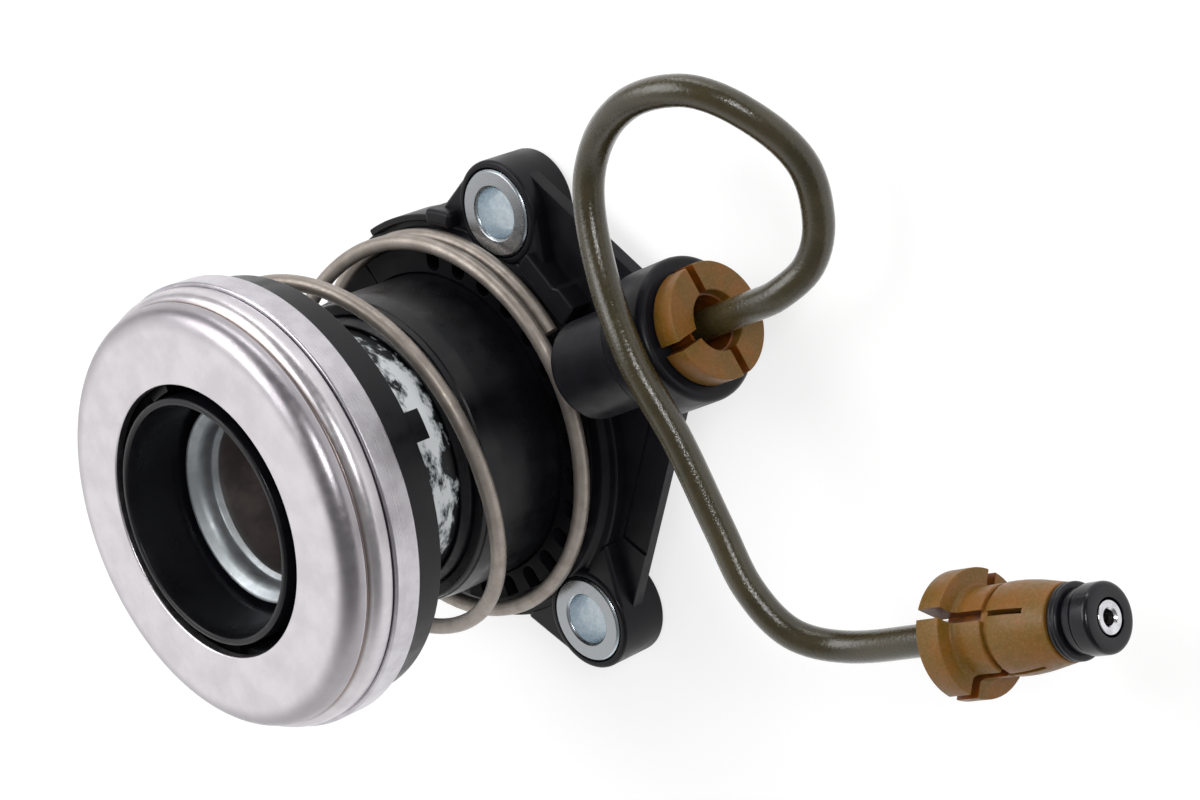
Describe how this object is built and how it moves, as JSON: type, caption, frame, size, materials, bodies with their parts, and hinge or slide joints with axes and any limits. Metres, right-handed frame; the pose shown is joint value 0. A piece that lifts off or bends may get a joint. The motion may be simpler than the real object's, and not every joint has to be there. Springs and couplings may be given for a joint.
{
  "type": "concentric slave cylinder",
  "caption": "Hydraulic clutch release actuator: a ring-shaped cylinder round a guide tube pushes a release bearing against a preload spring, fed by a bent pipe.",
  "frame": {"origin": "centre of the mounting face on the gearbox, on the shaft's axis", "axes": "+Z along the shaft axis towards the release bearing, +X out of the hydraulic port"},
  "size_m": [0.174, 0.0988, 0.0642],
  "materials": {
    "moulded_nylon": "black glass-filled nylon, satin moulded skin",
    "sleeve_nylon": "black nylon, smoother satin skin",
    "piston_nylon": "dark nylon wet with assembly grease",
    "seal_rubber": "black rubber",
    "tube_steel": "drawn steel, thin zinc coat",
    "zinc_steel": "zinc-plated turned steel",
    "face_steel": "pressed steel, tumbled face and bright beads",
    "race_steel": "ground bearing steel",
    "ball_steel": "polished bearing steel",
    "spring_steel": "coated spring wire",
    "coated_steel": "olive-brown polymer coat on steel pipe",
    "amber_nylon": "natural amber glass-filled nylon",
    "nose_nylon": "black nylon, glossy",
    "cage_nylon": "brown nylon"
  },
  "bodies": {
    "housing": {"housing": "moulded_nylon", "outer_sleeve": "sleeve_nylon", "wiper_ring": "seal_rubber", "guide_tube": "tube_steel", "guide_tube_seal": "seal_rubber", "mounting_bush_1": "zinc_steel", "mounting_bush_2": "zinc_steel", "mounting_bush_3": "zinc_steel", "gearbox_seal": "seal_rubber", "preload_spring": "spring_steel", "port_collet": "amber_nylon", "port_nose": "nose_nylon", "port_seal": "seal_rubber", "hydraulic_pipe": "coated_steel", "pipe_end_collet": "amber_nylon", "pipe_end_nose": "nose_nylon", "pipe_end_seal": "seal_rubber", "pipe_end_insert": "zinc_steel"},
    "carrier": {"piston": "piston_nylon", "piston_seal": "seal_rubber", "bearing_carrier": "moulded_nylon", "bore_sleeve": "sleeve_nylon", "bearing_inner_race": "race_steel", "bearing_rear_seal": "seal_rubber"},
    "bearing_outer": {"bearing_face_ring": "face_steel", "bearing_outer_race": "race_steel"},
    "bearing_cage": {"ball_cage": "cage_nylon", "ball_01": "ball_steel", "ball_02": "ball_steel", "ball_03": "ball_steel", "ball_04": "ball_steel", "ball_05": "ball_steel", "ball_06": "ball_steel", "ball_07": "ball_steel", "ball_08": "ball_steel", "ball_09": "ball_steel", "ball_10": "ball_steel", "ball_11": "ball_steel", "ball_12": "ball_steel", "ball_13": "ball_steel", "ball_14": "ball_steel"}
  },
  "joints": [
    {"name": "release_stroke", "type": "slide", "parent": "housing", "child": "carrier", "axis": [0, 0, 1], "range_m": [-0.013, 0], "stiffness_N_per_m": 870, "springref_m": 0.04, "deforming": ["preload_spring"]},
    {"name": "bearing_spin", "type": "hinge", "parent": "carrier", "child": "bearing_outer", "pos_m": [0, 0, 0.0566], "axis": [0, 0, 1], "continuous": true},
    {"name": "cage_orbit", "type": "hinge", "parent": "carrier", "child": "bearing_cage", "pos_m": [0, 0, 0.0566], "axis": [0, 0, 1], "continuous": true}
  ],
  "couplings": [
    {"joint": "cage_orbit", "follows": "bearing_spin", "ratio": 0.535}
  ]
}
